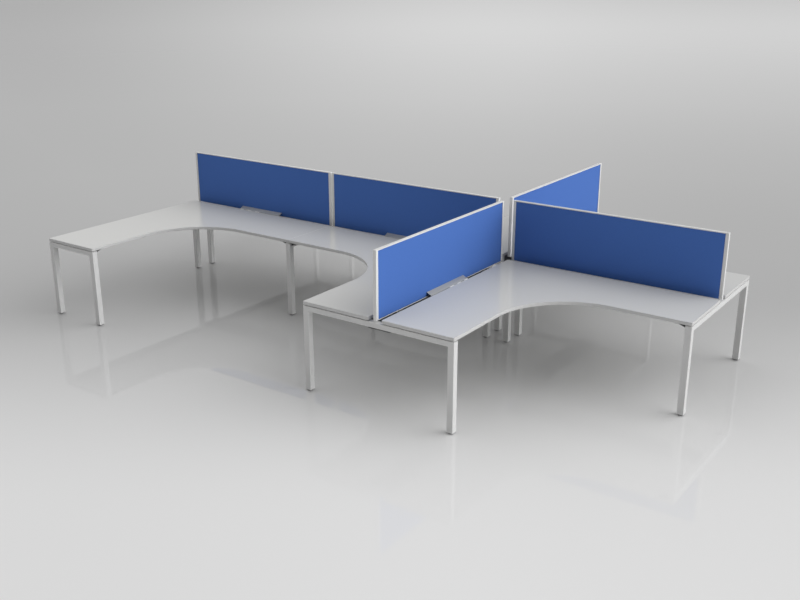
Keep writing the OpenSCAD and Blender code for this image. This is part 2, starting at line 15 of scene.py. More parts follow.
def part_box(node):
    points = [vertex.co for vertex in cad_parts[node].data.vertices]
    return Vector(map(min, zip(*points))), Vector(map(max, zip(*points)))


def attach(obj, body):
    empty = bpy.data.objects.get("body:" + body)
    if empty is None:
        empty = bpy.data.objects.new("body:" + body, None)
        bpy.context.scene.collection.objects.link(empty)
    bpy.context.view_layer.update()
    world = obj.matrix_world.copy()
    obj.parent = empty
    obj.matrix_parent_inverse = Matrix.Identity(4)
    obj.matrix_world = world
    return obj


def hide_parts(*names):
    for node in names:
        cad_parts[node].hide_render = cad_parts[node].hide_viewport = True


bl_info = {
    "name": "Six-person workstation",
    "version": (1, 0, 0),
    "blender": (4, 5, 0),
    "location": "View3D > Sidebar > Workstation",
    "description": "Desks, steel frames, fabric screens and hinged cable flaps",
    "category": "Object",
}

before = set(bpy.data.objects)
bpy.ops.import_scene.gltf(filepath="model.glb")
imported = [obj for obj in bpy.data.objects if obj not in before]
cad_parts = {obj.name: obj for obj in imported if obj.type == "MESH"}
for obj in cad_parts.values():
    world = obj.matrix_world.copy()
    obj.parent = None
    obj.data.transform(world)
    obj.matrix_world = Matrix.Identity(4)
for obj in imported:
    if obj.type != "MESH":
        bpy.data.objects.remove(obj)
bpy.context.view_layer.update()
ROOT = "workstation"
WINGS = ("right", "front", "back", "middle", "left")
DESKS = (
    "front_right",
    "back_right",
    "front_middle",
    "back_middle",
    "front_left",
    "back_left",
)
FRAMES = (
    "end_frame_right",
    "end_frame_front",
    "end_frame_back",
    "middle_frame",
    "end_frame_left_front",
    "end_frame_left_back",
)
SCREEN_LOW, SCREEN_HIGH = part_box("screen_frame_right")
PANEL_LOW, PANEL_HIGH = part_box("screen_panel_right")

# What counts as one point, one plane, one direction, the middle and a sharp edge
SAME_POINT = 1e-5
SAME_PLANE = math.radians(1.0)
SAME_WAY = 0.99
NEAR_MIDDLE = 0.01
SHARP_EDGE = math.radians(40)
SMOOTH_EDGE = math.radians(35)

# Places of a Mix node's colour sockets, whose names stand for other kinds too
MIX_AMOUNT, MIX_FIRST, MIX_SECOND, MIX_RESULT = 0, 6, 7, 2
WHITE = (1.0, 1.0, 1.0, 1.0)

# Painted light on the floor, laid out in metres from a fixed place in front of the
# desks: where the floor is lighter and where it glows
FLOOR_START = Vector((4.806, -7.109, 0.0))
FLOOR_AHEAD = Vector((-0.5748, 0.8183, 0.0))
FLOOR_ASIDE = Vector((0.8183, 0.5748, 0.0))
LEAST_DEPTH = 4.0
RIGHT_SLOPES = (-0.446, 0.15)  # metres aside for each metre ahead
RIGHT_PAINTED_LIGHT = 0.083  # painted light: how much lighter the right side is, as a share
# Painted light: the depths and widths over which the floor is lighter in front
NEAR_DEPTHS = (9.30, 5.09)
NEAR_WIDTHS = (12.0, 6.0)
FAR_DEPTHS = (2.08, 4.02)  # the painted glow comes in between these: natural logarithms of 8 m and 56 m
FLOOR_RADIUS = 160.0
FLOOR_FADE = (60.0, 150.0)


# Settings


class WorkstationSizes(bpy.types.PropertyGroup):
    """Sizes of the fine shapes"""

    board_edge: bpy.props.FloatProperty(
        name="Board edge",
        description="Rounding along the edges of a desktop board",
        default=0.0003,
        min=0.0001,
        max=0.001,
        precision=4,
        unit="LENGTH",
    )
    band_edge: bpy.props.FloatProperty(
        name="Band edge",
        description="Rounding along the edges of the edge band",
        default=0.0006,
        min=0.0001,
        max=0.0009,
        precision=4,
        unit="LENGTH",
    )
    plate_edge: bpy.props.FloatProperty(
        name="Plate edge",
        description="Rounding along the edges of cut and folded steel plates",
        default=0.0004,
        min=0.0001,
        max=0.0007,
        precision=4,
        unit="LENGTH",
    )
    flap_edge: bpy.props.FloatProperty(
        name="Flap edge",
        description="Rounding along the cut ends of a cable flap",
        default=0.0005,
        min=0.0001,
        max=0.0008,
        precision=4,
        unit="LENGTH",
    )
    profile_edge: bpy.props.FloatProperty(
        name="Profile edge",
        description="Rounding along the edges of the screen profile",
        default=0.0008,
        min=0.0003,
        max=0.0012,
        precision=4,
        unit="LENGTH",
    )
    post_width: bpy.props.FloatProperty(
        name="Post width",
        description="Face width of the posts at the screen's ends",
        default=0.025,
        min=0.02,
        max=0.035,
        unit="LENGTH",
    )
    rail_height: bpy.props.FloatProperty(
        name="Rail height",
        description="Height of the slim rails over and under the panel",
        default=0.008,
        min=0.0065,
        max=0.012,
        precision=4,
        unit="LENGTH",
    )
    profile_wall: bpy.props.FloatProperty(
        name="Profile wall",
        description="Wall beside the groove of the screen profile",
        default=0.0018,
        min=0.0012,
        max=0.002,
        precision=4,
        unit="LENGTH",
    )
    groove_depth: bpy.props.FloatProperty(
        name="Groove depth",
        description="Depth of the groove in the posts, which holds the panel",
        default=0.0082,
        min=0.005,
        max=0.011,
        precision=4,
        unit="LENGTH",
    )
    rail_groove: bpy.props.FloatProperty(
        name="Rail groove",
        description="Depth of the groove in the slim rails",
        default=0.0052,
        min=0.003,
        max=0.0055,
        precision=4,
        unit="LENGTH",
    )
    tuck_width: bpy.props.FloatProperty(
        name="Tuck width",
        description="Width over which the fabric runs down into the groove",
        default=0.004,
        min=0.002,
        max=0.02,
        unit="LENGTH",
    )
    tuck_depth: bpy.props.FloatProperty(
        name="Tuck depth",
        description="How far the fabric's border lies below its face",
        default=0.0008,
        min=0.0,
        max=0.003,
        precision=4,
        unit="LENGTH",
    )


class WorkstationColours(bpy.types.PropertyGroup):
    """Colours of the finishes"""

    top: bpy.props.FloatVectorProperty(
        name="Desktop",
        description="White melamine facing of the boards",
        default=(0.755, 0.755, 0.740),
        min=0.0,
        max=1.0,
        subtype="COLOR",
    )
    band: bpy.props.FloatVectorProperty(
        name="Edge band",
        description="Edge band of the boards",
        default=(0.70, 0.70, 0.695),
        min=0.0,
        max=1.0,
        subtype="COLOR",
    )
    steel: bpy.props.FloatVectorProperty(
        name="Steel",
        description="White powder coat on the frames, legs and beams",
        default=(0.80, 0.80, 0.795),
        min=0.0,
        max=1.0,
        subtype="COLOR",
    )
    bracket: bpy.props.FloatVectorProperty(
        name="Bracket",
        description="Black powder coat on the brackets",
        default=(0.03, 0.03, 0.033),
        min=0.0,
        max=1.0,
        subtype="COLOR",
    )
    # Partly painted shade: a dark grey coat, kept dark so that the gaps between the
    # desks, where the trays and straps lie, read as deep shade
    tray_and_painted_shade: bpy.props.FloatVectorProperty(
        name="Tray",
        description="Dark grey powder coat on the cable trays and screen supports",
        default=(0.20, 0.20, 0.20),
        min=0.0,
        max=1.0,
        subtype="COLOR",
    )
    plastic: bpy.props.FloatVectorProperty(
        name="Plastic",
        description="Moulded nylon of the feet",
        default=(0.42, 0.42, 0.42),
        min=0.0,
        max=1.0,
        subtype="COLOR",
    )
    zinc: bpy.props.FloatVectorProperty(
        name="Zinc",
        description="Plating on the bolts",
        default=(0.80, 0.80, 0.80),
        min=0.0,
        max=1.0,
        subtype="COLOR",
    )
    profile: bpy.props.FloatVectorProperty(
        name="Screen profile",
        description="Satin white coating on the screen profile",
        default=(0.88, 0.88, 0.875),
        min=0.0,
        max=1.0,
        subtype="COLOR",
    )
    flap: bpy.props.FloatVectorProperty(
        name="Cable flap",
        description="Satin anodised aluminium of the flaps",
        default=(0.58, 0.58, 0.56),
        min=0.0,
        max=1.0,
        subtype="COLOR",
    )
    hinge: bpy.props.FloatVectorProperty(
        name="Hinge",
        description="Bright steel of the hinge leaves and pins",
        default=(0.92, 0.92, 0.92),
        min=0.0,
        max=1.0,
        subtype="COLOR",
    )
    fabric: bpy.props.FloatVectorProperty(
        name="Fabric",
        description="Plain-woven cloth on the screens",
        default=(0.081, 0.193, 0.585),
        min=0.0,
        max=1.0,
        subtype="COLOR",
    )
    fabric_bounce: bpy.props.FloatVectorProperty(
        name="Fabric bounce",
        description="Colour of the cloth in the light that it throws on other pieces",
        default=(0.098, 0.149, 0.324),
        min=0.0,
        max=1.0,
        subtype="COLOR",
    )


class WorkstationStage(bpy.types.PropertyGroup):
    """Camera, light and floor"""

    camera_place: bpy.props.FloatVectorProperty(
        name="Camera place",
        description="Where the camera stands",
        default=(4.8056, -7.1087, 3.1287),
        subtype="TRANSLATION",
        unit="LENGTH",
    )
    camera_turn: bpy.props.FloatProperty(
        name="Camera turn",
        description="Turn of the camera about the vertical",
        default=math.radians(35.085),
        subtype="ANGLE",
    )
    camera_dip: bpy.props.FloatProperty(
        name="Camera dip",
        description="How far the camera looks down",
        default=math.radians(19.134),
        subtype="ANGLE",
    )
    camera_lens: bpy.props.FloatProperty(
        name="Focal length",
        description="Focal length for a sensor 36 mm wide",
        default=44.59,
        min=20.0,
        max=120.0,
        subtype="DISTANCE_CAMERA",
        unit="CAMERA",
    )
    right_glow: bpy.props.FloatProperty(
        name="Right glow",
        description="Level of the broad light on the right",
        default=1.98,
        min=0.0,
        max=6.0,
    )
    far_glow: bpy.props.FloatProperty(
        name="Far right glow",
        description="Level of the broad light beyond the desks on the right",
        default=1.144,
        min=0.0,
        max=6.0,
    )
    left_glow: bpy.props.FloatProperty(
        name="Left glow",
        description="Level of the broad light high on the left",
        default=0.856,
        min=0.0,
        max=6.0,
    )
    roof_glow: bpy.props.FloatProperty(
        name="Roof glow",
        description="Level of the broad light overhead",
        default=0.24,
        min=0.0,
        max=6.0,
    )
    backdrop: bpy.props.FloatProperty(
        name="Backdrop",
        description="Level of the plain background; nothing brighter is mirrored",
        default=0.50,
        min=0.0,
        max=1.0,
    )
    floor_tone: bpy.props.FloatProperty(
        name="Floor tone",
        description="Grey of the floor round the desks",
        default=0.506,
        min=0.1,
        max=0.8,
    )
    # Painted light: how far the floor's grey is raised in front of the desks
    near_painted_light: bpy.props.FloatProperty(
        name="Near tone",
        description="How much lighter the floor is in front of the desks",
        default=0.323,
        min=0.0,
        max=0.4,
    )
    # Painted glow: faint light that the floor gives off far beyond the desks on the
    # right
    far_painted_glow: bpy.props.FloatProperty(
        name="Far shine",
        description="Light on the floor far beyond the desks on the right",
        default=0.424,
        min=0.0,
        max=1.0,
    )


# Small helpers for modelling


def only(piece=None):
    """Leaves edit mode and selects this piece and nothing else."""
    if bpy.context.object and bpy.context.object.mode != "OBJECT":
        bpy.ops.object.mode_set(mode="OBJECT")
    bpy.ops.object.select_all(action="DESELECT")
    if piece:
        piece.select_set(True)
        bpy.context.view_layer.objects.active = piece


def merged_copy(node, name):
    """A copy of a node's shape with its doubles merged, to be finished as a piece."""
    piece = bpy.data.objects.new(name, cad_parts[node].data.copy())
    bpy.context.scene.collection.objects.link(piece)
    only(piece)
    bpy.ops.mesh.customdata_custom_splitnormals_clear()
    bpy.ops.object.mode_set(mode="EDIT")
    bpy.ops.mesh.select_all(action="SELECT")
    bpy.ops.mesh.remove_doubles(threshold=SAME_POINT)
    bpy.ops.mesh.dissolve_limited(angle_limit=SAME_PLANE)
    bpy.ops.object.mode_set(mode="OBJECT")
    return piece


def apply_modifiers(piece):
    """Applies every modifier of a piece, in order."""
    only(piece)
    for modifier in list(piece.modifiers):
        bpy.ops.object.modifier_apply(modifier=modifier.name)


def round_edges(piece, width, segments=2):
    """Rounds every sharp edge of a piece and smooths the rest."""
    bevel = piece.modifiers.new("rounding", "BEVEL")
    bevel.width = width
    bevel.segments = segments
    bevel.limit_method = "ANGLE"
    bevel.angle_limit = SHARP_EDGE
    bevel.use_clamp_overlap = True
    apply_modifiers(piece)
    bpy.ops.object.shade_smooth_by_angle(angle=SMOOTH_EDGE)


def select_faces(piece, test):
    """Selects the faces whose middle and normal pass the test, in edit mode."""
    bpy.context.tool_settings.mesh_select_mode = (False, False, True)
    mesh = bmesh.from_edit_mesh(piece.data)
    for face in mesh.faces:
        face.select_set(bool(test(face.calc_center_median(), face.normal)))
    mesh.select_flush_mode()
    bmesh.update_edit_mesh(piece.data)


def box_piece(name, low, high):
    """A box between two corners, as the start of a piece."""
    size = [high[i] - low[i] for i in range(3)]
    middle = [(high[i] + low[i]) / 2 for i in range(3)]
    only()
    bpy.ops.mesh.primitive_cube_add(size=1, location=middle)
    piece = bpy.context.object
    piece.name = name
    piece.data.name = name
    piece.scale = size
    bpy.ops.object.transform_apply(location=True, rotation=True, scale=True)
    return piece


def joined(parts, name):
    """Joins several parts into one piece."""
    only(parts[0])
    for part in parts:
        part.select_set(True)
    bpy.ops.object.join()
    piece = bpy.context.object
    piece.name = name
    piece.data.name = name
    return piece


def finish_piece(piece, material, body=ROOT, stands_for=()):
    """Gives a piece its finish, its body and the nodes that it stands for."""
    piece.data.materials.clear()
    piece.data.materials.append(material)
    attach(piece, body)
    if stands_for:
        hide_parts(*stands_for)


def dress_nodes(names, material):
    """Gives nodes that keep their own shape a finish."""
    for name in names:
        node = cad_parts[name]
        if not node.material_slots:
            node.data.materials.append(material)
        for slot in node.material_slots:
            slot.material = material


def nodes_starting(*starts):
    """The names of the nodes that begin with one of these words, in order."""
    return sorted(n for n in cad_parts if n.startswith(starts))


# Shared effects, each a node group


def new_group(name, inputs, outputs):
    """An empty node group with its input and output nodes."""
    group = bpy.data.node_groups.new(name, "ShaderNodeTree")
    for label, kind, value in inputs:
        socket = group.interface.new_socket(label, in_out="INPUT", socket_type=kind)
        socket.default_value = value
    for label, kind in outputs:
        group.interface.new_socket(label, in_out="OUTPUT", socket_type=kind)
    return group, group.nodes.new("NodeGroupInput"), group.nodes.new("NodeGroupOutput")


def feed(tree, value, socket):
    """Gives a socket a number or another node's output."""
    if isinstance(value, (int, float)):
        socket.default_value = value
    else:
        tree.links.new(value, socket)


def calculate(tree, operation, *values):
    """A Math node; each input is a number or another node's output."""
    node = tree.nodes.new("ShaderNodeMath")
    node.operation = operation
    for value, socket in zip(values, node.inputs):
        feed(tree, value, socket)
    return node.outputs[0]


def noise(tree, vector, scale, detail=2.0, roughness=0.5):
    """A noise texture at a place; its scale is a number or another node's output."""
    node = tree.nodes.new("ShaderNodeTexNoise")
    node.inputs["Detail"].default_value = detail
    node.inputs["Roughness"].default_value = roughness
    tree.links.new(vector, node.inputs["Vector"])
    feed(tree, scale, node.inputs["Scale"])
    return node.outputs["Fac"]


def along(tree, vector, way):
    """How far a vector reaches along a direction."""
    node = tree.nodes.new("ShaderNodeVectorMath")
    node.operation = "DOT_PRODUCT"
    node.inputs[1].default_value = way
    tree.links.new(vector, node.inputs[0])
    return node.outputs["Value"]


def eased(tree, value, start, end):
    """Rises smoothly from 0 to 1 while a value goes from start to end."""
    node = tree.nodes.new("ShaderNodeMapRange")
    node.interpolation_type = "SMOOTHSTEP"
    node.inputs["From Min"].default_value = start
    node.inputs["From Max"].default_value = end
    tree.links.new(value, node.inputs["Value"])
    return node.outputs["Result"]


def stretched(tree, vector, scale):
    """A place with its three axes scaled."""
    node = tree.nodes.new("ShaderNodeMapping")
    node.inputs["Scale"].default_value = scale
    tree.links.new(vector, node.inputs["Vector"])
    return node.outputs["Vector"]


def brightened(tree, colour, factor):
    """A colour times a factor."""
    node = tree.nodes.new("ShaderNodeVectorMath")
    node.operation = "SCALE"
    tree.links.new(colour, node.inputs[0])
    tree.links.new(factor, node.inputs["Scale"])
    return node.outputs["Vector"]


def drifting(tree, pattern, drift, middle):
    """A value that drifts about its middle with a pattern from 0 to 1."""
    centred = calculate(tree, "SUBTRACT", pattern, 0.5)
    return calculate(tree, "MULTIPLY_ADD", centred, drift, middle)


def mixed(tree, amount, first, second):
    """Two shaders, mixed from the first to the second."""
    node = tree.nodes.new("ShaderNodeMixShader")
    for value, socket in zip((amount, first, second), node.inputs):
        tree.links.new(value, socket)
    return node.outputs["Shader"]


def background(tree, level):
    """White light from all round; its level is a number or another node's output."""
    node = tree.nodes.new("ShaderNodeBackground")
    node.inputs["Color"].default_value = WHITE
    feed(tree, level, node.inputs["Strength"])
    return node.outputs["Background"]


def fine_grain():
    """Fine bumps over a slow drift in roughness and tone."""
    tree, given, result = new_group(
        "fine_grain",
        [
            ("Colour", "NodeSocketColor", WHITE),
            ("Tone Drift", "NodeSocketFloat", 0.03),
            ("Grain Scale", "NodeSocketFloat", 900.0),
            ("Roughness", "NodeSocketFloat", 0.4),
            ("Roughness Drift", "NodeSocketFloat", 0.1),
        ],
        [
            ("Colour", "NodeSocketColor"),
            ("Roughness", "NodeSocketFloat"),
            ("Height", "NodeSocketFloat"),
        ],
    )
    place = tree.nodes.new("ShaderNodeTexCoord").outputs["Object"]
    grain = noise(tree, place, given.outputs["Grain Scale"])
    slow = noise(tree, place, scale=1.7, detail=3.0)
    smudge = noise(tree, place, scale=14.0, detail=4.0, roughness=0.6)
    bright = drifting(tree, slow, given.outputs["Tone Drift"], 1.0)
    tint = brightened(tree, given.outputs["Colour"], bright)
    rough = drifting(
        tree, smudge, given.outputs["Roughness Drift"], given.outputs["Roughness"]
    )
    tree.links.new(tint, result.inputs["Colour"])
    tree.links.new(rough, result.inputs["Roughness"])
    tree.links.new(grain, result.inputs["Height"])
    return tree


def plain_weave():
    """Over-and-under threads with painted shade where they dip, and the slight streaks
    of spun yarn.
    """
    tree, given, result = new_group(
        "plain_weave",
        [
            ("Colour", "NodeSocketColor", WHITE),
            ("Threads", "NodeSocketFloat", 700.0),
            ("Streaks", "NodeSocketFloat", 0.12),
        ],
        [("Colour", "NodeSocketColor"), ("Height", "NodeSocketFloat")],
    )
    place = tree.nodes.new("ShaderNodeTexCoord").outputs["Object"]
    split = tree.nodes.new("ShaderNodeSeparateXYZ")
    tree.links.new(place, split.inputs[0])
    across = calculate(tree, "ADD", split.outputs["X"], split.outputs["Y"])
    upward = split.outputs["Z"]
    turn = calculate(tree, "MULTIPLY", given.outputs["Threads"], math.pi)
    weft = calculate(tree, "SINE", calculate(tree, "MULTIPLY", across, turn))
    warp = calculate(tree, "SINE", calculate(tree, "MULTIPLY", upward, turn))
    crossing = calculate(tree, "MULTIPLY", weft, warp)
    weave = calculate(tree, "MULTIPLY_ADD", crossing, 0.5, 0.5)  # from 0 to 1
    flat = tree.nodes.new("ShaderNodeCombineXYZ")
    tree.links.new(across, flat.inputs["X"])
    tree.links.new(upward, flat.inputs["Y"])
    thin = 14.0
    yarns = [
        noise(tree, stretched(tree, flat.outputs[0], scale), scale=40.0, detail=3.0)
        for scale in ((1.0, thin, 1.0), (thin, 1.0, 1.0))
    ]
    yarn = calculate(tree, "SUBTRACT", calculate(tree, "ADD", *yarns), 1.0)
    streak = calculate(tree, "MULTIPLY", yarn, given.outputs["Streaks"])
    # Painted shade and highlight: the cloth is up to 5 % darker where the threads dip
    # and as much lighter on their crowns
    relief, lowest = 0.10, 0.95
    weave_painted_shade = calculate(tree, "MULTIPLY_ADD", weave, relief, lowest)
    bright = calculate(tree, "ADD", weave_painted_shade, streak)
    tint = brightened(tree, given.outputs["Colour"], bright)
    tree.links.new(tint, result.inputs["Colour"])
    tree.links.new(weave, result.inputs["Height"])
    return tree


def drawn_lines():
    """Faint lines along a metal part, from drawing or brushing."""
    tree, given, result = new_group(
        "drawn_lines",
        [
            ("Roughness", "NodeSocketFloat", 0.35),
            ("Roughness Drift", "NodeSocketFloat", 0.15),
        ],
        [("Roughness", "NodeSocketFloat"), ("Height", "NodeSocketFloat")],
    )
    place = tree.nodes.new("ShaderNodeTexCoord").outputs["Object"]
    coarse, fine = 6.0, 900.0
    squeezed = stretched(tree, place, (coarse, coarse, fine))
    lines = noise(tree, squeezed, scale=1.0, detail=4.0, roughness=0.6)
    rough = drifting(
        tree, lines, given.outputs["Roughness Drift"], given.outputs["Roughness"]
    )
    tree.links.new(rough, result.inputs["Roughness"])
    tree.links.new(lines, result.inputs["Height"])
    return tree


GROUP_MAKERS = {
    "fine_grain": fine_grain,
    "plain_weave": plain_weave,
    "drawn_lines": drawn_lines,
}


def shared_group(name):
    """A shared effect, built the first time that a finish asks for it."""
    return bpy.data.node_groups.get(name) or GROUP_MAKERS[name]()


# Finishes


def blank_material(name):
    """A material with its shader, ready for an effect."""
    material = bpy.data.materials.new(name)
    material.use_nodes = True
    shader = material.node_tree.nodes["Principled BSDF"]
    return material, material.node_tree, shader


def place_group(tree, name, values):
    """Places a shared effect in a material with its own values."""
    node = tree.nodes.new("ShaderNodeGroup")
    node.node_tree = shared_group(name)
    for label, value in values.items():
        if label == "Colour":
            value = (*value, 1.0)
        node.inputs[label].default_value = value
    return node


def bumped(tree, shader, height, strength, distance):
    """Feeds a height to the shader's normal."""
    bump = tree.nodes.new("ShaderNodeBump")
    bump.inputs["Strength"].default_value = strength
    bump.inputs["Distance"].default_value = distance
    tree.links.new(height, bump.inputs["Height"])
    tree.links.new(bump.outputs["Normal"], shader.inputs["Normal"])


def grained_finish(name, colour, values, strength, distance):
    """A painted, laminated or moulded finish with fine bumps."""
    if name in bpy.data.materials:
        return bpy.data.materials[name]
    material, tree, shader = blank_material(name)
    effect = place_group(tree, "fine_grain", {"Colour": tuple(colour), **values})
    tree.links.new(effect.outputs["Colour"], shader.inputs["Base Color"])
    tree.links.new(effect.outputs["Roughness"], shader.inputs["Roughness"])
    bumped(tree, shader, effect.outputs["Height"], strength, distance)
    return material


def drawn_finish(name, colour, roughness, drift, metallic=1.0):
    """Bare or anodised metal with faint lines along it."""
    if name in bpy.data.materials:
        return bpy.data.materials[name]
    material, tree, shader = blank_material(name)
    shader.inputs["Base Color"].default_value = (*colour, 1.0)
    shader.inputs["Metallic"].default_value = metallic
    effect = place_group(
        tree, "drawn_lines", {"Roughness": roughness, "Roughness Drift": drift}
    )
    tree.links.new(effect.outputs["Roughness"], shader.inputs["Roughness"])
    bumped(tree, shader, effect.outputs["Height"], strength=0.15, distance=0.0002)
    return material


def colours():
    return bpy.context.scene.workstation_colours


def sizes():
    return bpy.context.scene.workstation_sizes


def melamine():
    return grained_finish(
        "white_melamine",
        colours().top,
        {
            "Tone Drift": 0.02,
            "Grain Scale": 1400.0,
            "Roughness": 0.17,
            "Roughness Drift": 0.03,
        },
        strength=0.06,
        distance=0.0001,
    )


def banding():
    return grained_finish(
        "edge_banding",
        colours().band,
        {
            "Tone Drift": 0.02,
            "Grain Scale": 1100.0,
            "Roughness": 0.38,
            "Roughness Drift": 0.06,
        },
        strength=0.08,
        distance=0.0001,
    )


def white_steel():
    return grained_finish(
        "white_powder_coat",
        colours().steel,
        {
            "Tone Drift": 0.03,
            "Grain Scale": 650.0,
            "Roughness": 0.42,
            "Roughness Drift": 0.10,
        },
        strength=0.22,
        distance=0.0003,
    )


def dark_steel(name, colour):
    return grained_finish(
        name,
        colour,
        {
            "Tone Drift": 0.20,
            "Grain Scale": 650.0,
            "Roughness": 0.48,
            "Roughness Drift": 0.12,
        },
        strength=0.25,
        distance=0.0003,
    )


def grey_plastic():
    return grained_finish(
        "moulded_nylon",
        colours().plastic,
        {
            "Tone Drift": 0.06,
            "Grain Scale": 420.0,
            "Roughness": 0.52,
            "Roughness Drift": 0.14,
        },
        strength=0.30,
        distance=0.0004,
    )


def profile_coat():
    return grained_finish(
        "profile_coating",
        colours().profile,
        {
            "Tone Drift": 0.02,
            "Grain Scale": 800.0,
            "Roughness": 0.36,
            "Roughness Drift": 0.08,
        },
        strength=0.12,
        distance=0.0002,
    )


def zinc():
    return drawn_finish("zinc_plate", colours().zinc, roughness=0.34, drift=0.16)


def bright_hinge():
    return drawn_finish(
        "bright_hinge", colours().hinge, roughness=0.28, drift=0.10, metallic=0.15
    )


def anodised():
    return drawn_finish(
        "satin_anodised", colours().flap, roughness=0.38, drift=0.14, metallic=0.55
    )


def fabric():
    """Woven cloth: threads, spun streaks and a soft nap, with its own bounced colour."""
    if "woven_fabric" in bpy.data.materials:
        return bpy.data.materials["woven_fabric"]
    material, tree, shader = blank_material("woven_fabric")
    effect = place_group(tree, "plain_weave", {"Colour": tuple(colours().fabric)})
    path = tree.nodes.new("ShaderNodeLightPath")
    muted = tree.nodes.new("ShaderNodeMix")
    muted.data_type = "RGBA"
    muted.inputs[MIX_SECOND].default_value = (*colours().fabric_bounce, 1.0)
    tree.links.new(path.outputs["Is Diffuse Ray"], muted.inputs[MIX_AMOUNT])
    tree.links.new(effect.outputs["Colour"], muted.inputs[MIX_FIRST])
    tree.links.new(muted.outputs[MIX_RESULT], shader.inputs["Base Color"])
    bumped(tree, shader, effect.outputs["Height"], strength=0.35, distance=0.0006)
    shader.inputs["Roughness"].default_value = 0.92
    shader.inputs["Specular IOR Level"].default_value = 0.15
    shader.inputs["Sheen Weight"].default_value = 0.10
    shader.inputs["Sheen Roughness"].default_value = 0.6
    shader.inputs["Sheen Tint"].default_value = (0.45, 0.60, 1.0, 1.0)
    return material


# Operators, one for each kind of piece


class WORKSTATION_OT_desktops(bpy.types.Operator):
    """Make the six L-shaped boards, with softened edges"""

    bl_idname = "workstation.desktops"
    bl_label = "Desktops"

    def execute(self, context):
        for desk in DESKS:
            node = "desktop_" + desk
            board = merged_copy(node, "board_" + desk)
            round_edges(board, sizes().board_edge, 1)
            finish_piece(board, melamine(), stands_for=[node])
        return {"FINISHED"}


class WORKSTATION_OT_edge_bands(bpy.types.Operator):
    """Make the bands round the boards, with rounded edges"""

    bl_idname = "workstation.edge_bands"
    bl_label = "Edge bands"

    def execute(self, context):
        bands = merged_copy("edge_bands", "rounded_edge_bands")
        round_edges(bands, sizes().band_edge, 2)
        finish_piece(bands, banding(), stands_for=["edge_bands"])
        return {"FINISHED"}


class WORKSTATION_OT_steel_frames(bpy.types.Operator):
    """Coat the frames, corner legs and beams white and the trays dark, a darkness that
    also paints the shade in the gaps between the desks
    """

    bl_idname = "workstation.steel_frames"
    bl_label = "Steel frames and trays"

    def execute(self, context):
        coated = nodes_starting("corner_leg_", "beam_")
        dress_nodes([*FRAMES, *coated], white_steel())
        dress_nodes(
            nodes_starting("cable_tray_"), dark_steel("tray_coat", colours().tray_and_painted_shade)
        )
        return {"FINISHED"}


class WORKSTATION_OT_fixings(bpy.types.Operator):
    """Make the bolts and the dark brackets under the boards"""

    bl_idname = "workstation.fixings"
    bl_label = "Bolts and brackets"

    def execute(self, context):
        bolts = merged_copy("frame_bolts", "hexagon_bolts")
        round_edges(bolts, sizes().plate_edge, 2)
        finish_piece(bolts, zinc(), stands_for=["frame_bolts"])
        brackets = merged_copy("top_brackets", "tapered_brackets")
        round_edges(brackets, sizes().plate_edge, 2)
        finish_piece(
            brackets,
            dark_steel("bracket_coat", colours().bracket),
            stands_for=["top_brackets"],
        )
        return {"FINISHED"}


class WORKSTATION_OT_feet(bpy.types.Operator):
    """Make the levelling glides and finish the plugs above them"""

    bl_idname = "workstation.feet"
    bl_label = "Feet"

    def execute(self, context):
        glides = merged_copy("levelling_glides", "rounded_glides")
        round_edges(glides, sizes().band_edge, 2)
        finish_piece(
            glides, grey_plastic(), stands_for=["levelling_glides"]
        )
        dress_nodes(["leg_plugs"], grey_plastic())
        return {"FINISHED"}


def wing_transform(wing):
    """Takes a screen that was made along +X, from its own start, to its wing."""
    low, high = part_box("screen_frame_" + wing)
    if high.x - low.x > high.y - low.y:
        return Matrix.Translation((low.x, (low.y + high.y) / 2, 0.0))
    place = Matrix.Translation(((low.x + high.x) / 2, low.y, 0.0))
    return place @ Matrix.Rotation(math.pi / 2, 4, "Z")


def grooved_bar(name, low, high, groove_side, depth):
    """One length of profile: a box with a groove along one side."""
    bar = box_piece(name, low, high)
    bpy.ops.object.mode_set(mode="EDIT")
    select_faces(bar, lambda middle, normal: normal.dot(groove_side) > SAME_WAY)
    bpy.ops.mesh.inset(thickness=sizes().profile_wall, depth=-depth)
    bpy.ops.object.mode_set(mode="OBJECT")
    return bar


def trim_ends(bar, start, end):
    """Cuts a bar square at two places along X and closes its ends."""
    only(bar)
    bpy.ops.object.mode_set(mode="EDIT")
    for place, way in ((start, -1.0), (end, 1.0)):
        bpy.ops.mesh.select_all(action="SELECT")
        bpy.ops.mesh.bisect(
            plane_co=(place, 0.0, 0.0),
            plane_no=(way, 0.0, 0.0),
            use_fill=True,
            clear_outer=True,
        )
    bpy.ops.object.mode_set(mode="OBJECT")


def cut_away(piece, cutter):
    """Takes the cutter's volume out of a piece and removes the cutter."""
    cut = piece.modifiers.new("cut", "BOOLEAN")
    cut.object = cutter
    cut.operation = "DIFFERENCE"
    cut.solver = "EXACT"
    apply_modifiers(piece)
    bpy.data.objects.remove(cutter)


def hollow_post(low, high, groove_way):
    """An end post: a grooved bar with a chamber that is open at its foot."""
    wall = sizes().profile_wall
    post = grooved_bar(
        "post", low, high, Vector((groove_way, 0, 0)), sizes().groove_depth
    )
    room = sizes().post_width - sizes().groove_depth - 2 * wall
    outer = low[0] + wall if groove_way > 0 else high[0] - wall - room
    chamber = box_piece(
        "chamber",
        (outer, low[1] + wall, low[2] - wall),
        (outer + room, high[1] - wall, high[2] - wall),
    )
    cut_away(post, chamber)
    return post


